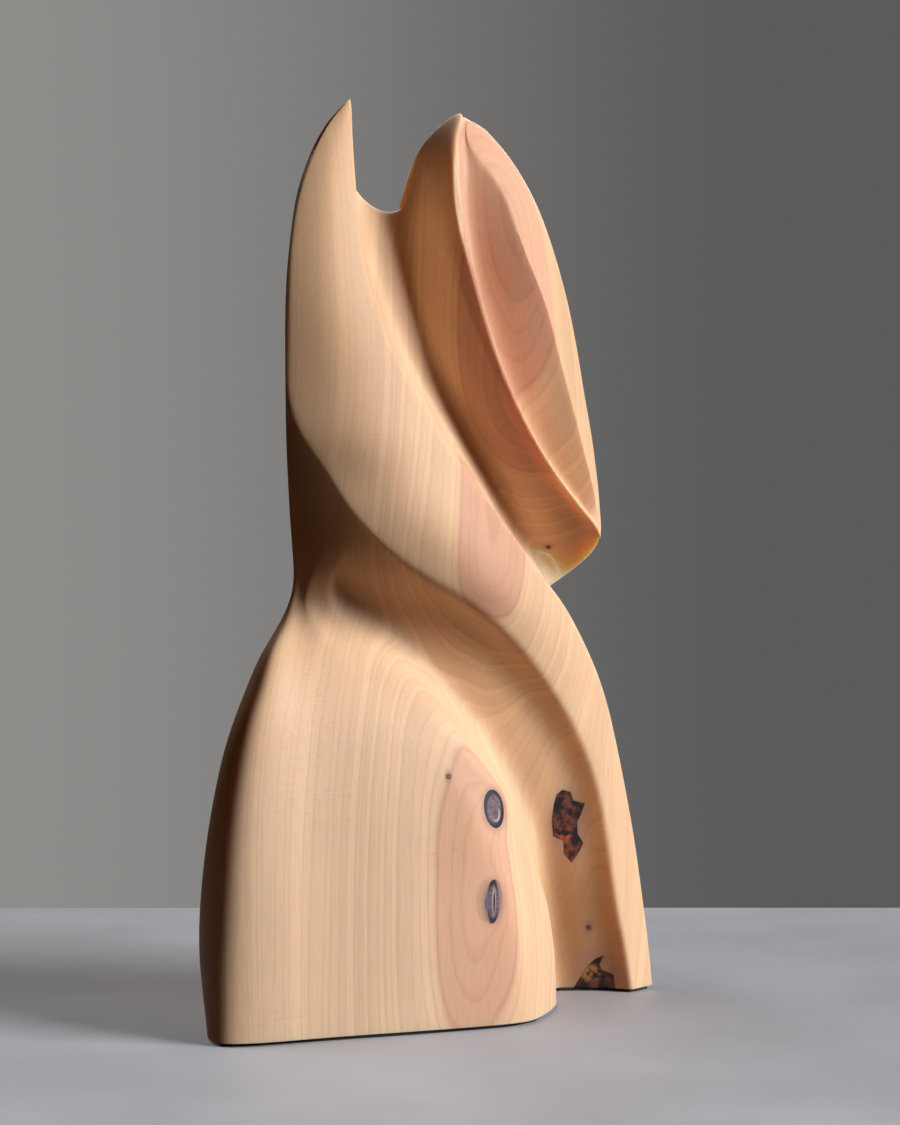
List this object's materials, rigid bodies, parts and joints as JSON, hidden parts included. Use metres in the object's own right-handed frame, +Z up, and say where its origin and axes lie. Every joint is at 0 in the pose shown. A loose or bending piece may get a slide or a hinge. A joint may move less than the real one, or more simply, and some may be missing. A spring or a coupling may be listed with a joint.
{
  "type": "abstract carved wood sculpture",
  "caption": "Free-standing abstract carving in pale wood: a pointed horn and a rounded head over a twisting band that runs down to one foot, beside a wide front foot.",
  "frame": {"origin": "centre of the bounding box's bottom, on the surface the carving stands on", "axes": "+Z up; -Y towards the front with the band and the feet; +X to the front view's right"},
  "size_m": [0.2108, 0.0809, 0.3757],
  "materials": {
    "wood": "oiled satin, pale cream sapwood with a pinkish heart",
    "knot": "dark grey-purple knot wood, satin",
    "bark": "black-brown bark and dried resin, half gloss",
    "felt": "dark felt, matte"
  },
  "bodies": {
    "root": {"carved_body": "wood", "knot_upper": "knot", "knot_lower": "knot", "pin_knot_foot": "knot", "pin_knot_groove": "knot", "pin_knot_trough": "knot", "bark_fill_wall": "bark", "bark_fill_base": "bark", "felt_front_foot": "felt", "felt_right_foot": "felt"}
  },
  "joints": []
}
